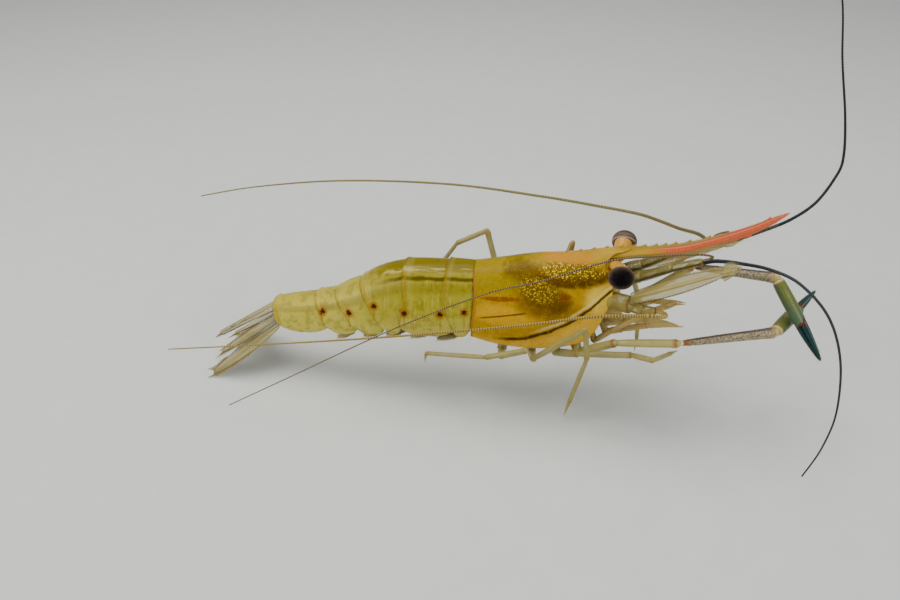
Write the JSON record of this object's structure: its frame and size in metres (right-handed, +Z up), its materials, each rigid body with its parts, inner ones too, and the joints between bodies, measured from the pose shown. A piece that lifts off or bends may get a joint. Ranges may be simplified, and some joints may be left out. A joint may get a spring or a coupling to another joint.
{
  "type": "giant river prawn",
  "caption": "Life-size giant river prawn with a toothed, upturned rostrum, long claws and trailing feelers, standing on its leg tips and tail fan.",
  "frame": {"origin": "middle of the bounding box, on the floor that the feet rest on", "axes": "+X towards the head, +Y to the animal's left, +Z up"},
  "size_m": [0.1044, 0.0488, 0.0726],
  "materials": {
    "shell": "clear amber shell, glossy when wet",
    "abdomen": "translucent olive-beige shell plates, glossy",
    "rostrum": "olive root, coral red blade, glossy",
    "limb": "translucent pale olive shell, satin",
    "claw": "olive palm, dark teal fingers, satin",
    "feeler": "near-black blue, finely ringed, satin",
    "pale_feeler": "pale olive with dark dots, satin",
    "eye": "black faceted cornea with a soft brown ring, glossy",
    "fan": "pale translucent blades, satin"
  },
  "bodies": {
    "root": {"abdomen_1": "abdomen", "abdomen_2": "abdomen", "abdomen_3": "abdomen", "abdomen_4": "abdomen", "abdomen_5": "abdomen", "abdomen_6": "abdomen", "antenna_flagellum_left_1": "pale_feeler", "antenna_flagellum_left_2": "pale_feeler", "antenna_flagellum_right_1": "pale_feeler", "antenna_flagellum_right_2": "pale_feeler", "antenna_peduncle_left": "limb", "antenna_peduncle_right": "limb", "antennule_inner_left": "pale_feeler", "antennule_inner_right": "pale_feeler", "antennule_outer_left_1": "feeler", "antennule_outer_left_2": "feeler", "antennule_outer_right_1": "feeler", "antennule_outer_right_2": "feeler", "antennule_peduncle_left": "limb", "antennule_peduncle_right": "limb", "arm_left": "limb", "arm_right": "limb", "carapace": "shell", "claw_left": "claw", "claw_right": "claw", "eye_left": "eye", "eye_right": "eye", "eyestalk_left": "shell", "eyestalk_right": "shell", "leg_1_left": "limb", "leg_1_right": "limb", "leg_3_left": "limb", "leg_3_right": "limb", "leg_4_left": "limb", "leg_4_right": "limb", "leg_5_left": "limb", "leg_5_right": "limb", "maxilliped_3_left": "limb", "maxilliped_3_right": "limb", "pleopod_1_left": "limb", "pleopod_1_right": "limb", "pleopod_2_left": "limb", "pleopod_2_right": "limb", "pleopod_3_left": "limb", "pleopod_3_right": "limb", "pleopod_4_left": "limb", "pleopod_4_right": "limb", "pleopod_5_left": "limb", "pleopod_5_right": "limb", "rostrum": "rostrum", "scale_left": "fan", "scale_right": "fan", "sternum": "shell", "telson": "fan", "uropod_endopod_left": "fan", "uropod_endopod_right": "fan", "uropod_exopod_left": "fan", "uropod_exopod_right": "fan"}
  },
  "joints": []
}
